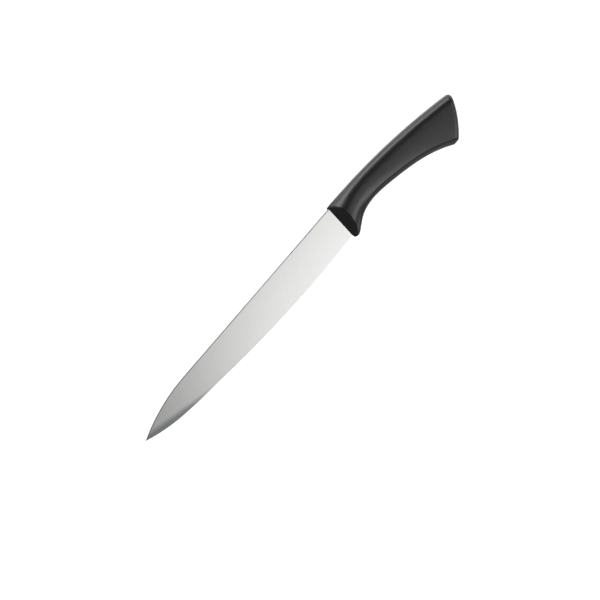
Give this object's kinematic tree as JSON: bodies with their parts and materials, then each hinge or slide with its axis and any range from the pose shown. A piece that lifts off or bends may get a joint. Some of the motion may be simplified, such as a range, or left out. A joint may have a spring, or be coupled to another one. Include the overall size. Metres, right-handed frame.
{
  "type": "carving knife",
  "caption": "Carving knife with a long slim flat-ground steel blade, a pointed tip and a moulded black plastic handle with finely grained sides.",
  "frame": {"origin": "where the handle's nose meets the blade, at half the blade's height, on the mid-plane", "axes": "+X along the knife from the point to the butt, +Y from the cutting edge to the spine, +Z out of the right side, so the knife lies on its left side"},
  "size_m": [0.3154, 0.0377, 0.0192],
  "materials": {
    "steel": "flat ground and finely brushed across the blade, with a bright bevel along the edge",
    "core": "smooth hard black plastic",
    "grip": "finely grained soft black plastic"
  },
  "bodies": {
    "root": {"blade": "steel", "handle_core": "core", "grip_right": "grip", "grip_left": "grip"}
  },
  "joints": []
}
